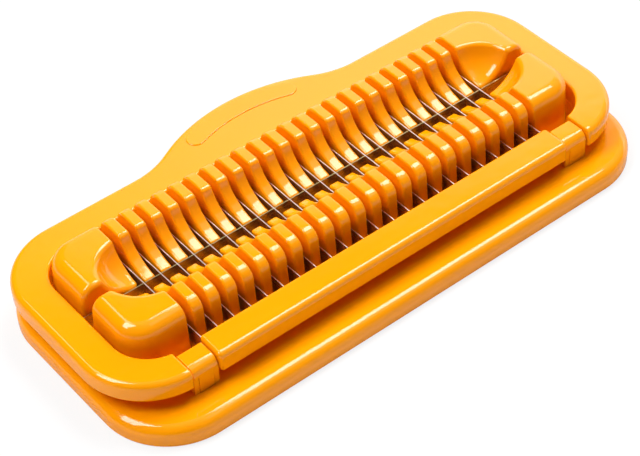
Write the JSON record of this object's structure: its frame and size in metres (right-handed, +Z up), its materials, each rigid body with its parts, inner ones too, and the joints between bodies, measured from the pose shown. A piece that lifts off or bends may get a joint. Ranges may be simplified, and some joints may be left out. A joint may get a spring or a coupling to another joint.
{
  "type": "sausage slicer",
  "caption": "Hand slicer with a ribbed trough on a flat base and a hinged blade frame with a handle, which closes to cut a sausage lengthwise and across.",
  "frame": {"origin": "on the table, under the middle of the long blade, which is also the middle of the footprint", "axes": "+X along the trough, +Y from the hinge in front to the handle behind, +Z up"},
  "size_m": [0.209, 0.103, 0.0254],
  "materials": {
    "orange_plastic": "gloss, moulded, yellow-orange",
    "blade_steel": "fine brushed stainless, ground lower edge",
    "screw_steel": "zinc plated"
  },
  "bodies": {
    "base": {"base_tray": "orange_plastic", "cradle": "orange_plastic", "cradle_screws": "screw_steel", "hinge_cap_left": "orange_plastic", "hinge_cap_right": "orange_plastic"},
    "slicer_frame": {"blade_frame": "orange_plastic", "rear_blade_retainer": "orange_plastic", "front_blade_retainer": "orange_plastic", "long_blade": "blade_steel", "cross_blade_01": "blade_steel", "cross_blade_02": "blade_steel", "cross_blade_03": "blade_steel", "cross_blade_04": "blade_steel", "cross_blade_05": "blade_steel", "cross_blade_06": "blade_steel", "cross_blade_07": "blade_steel", "cross_blade_08": "blade_steel", "cross_blade_09": "blade_steel", "cross_blade_10": "blade_steel", "cross_blade_11": "blade_steel", "cross_blade_12": "blade_steel", "cross_blade_13": "blade_steel", "cross_blade_14": "blade_steel", "cross_blade_15": "blade_steel", "cross_blade_16": "blade_steel", "cross_blade_17": "blade_steel", "cross_blade_18": "blade_steel", "cross_blade_19": "blade_steel", "cross_blade_20": "blade_steel", "cross_blade_21": "blade_steel", "cross_blade_22": "blade_steel", "cross_blade_23": "blade_steel"}
  },
  "joints": [
    {"name": "frame_hinge", "type": "hinge", "parent": "base", "child": "slicer_frame", "pos_m": [0, -0.0361, 0.0136], "axis": [1, 0, 0], "range_deg": [0, 180]}
  ]
}
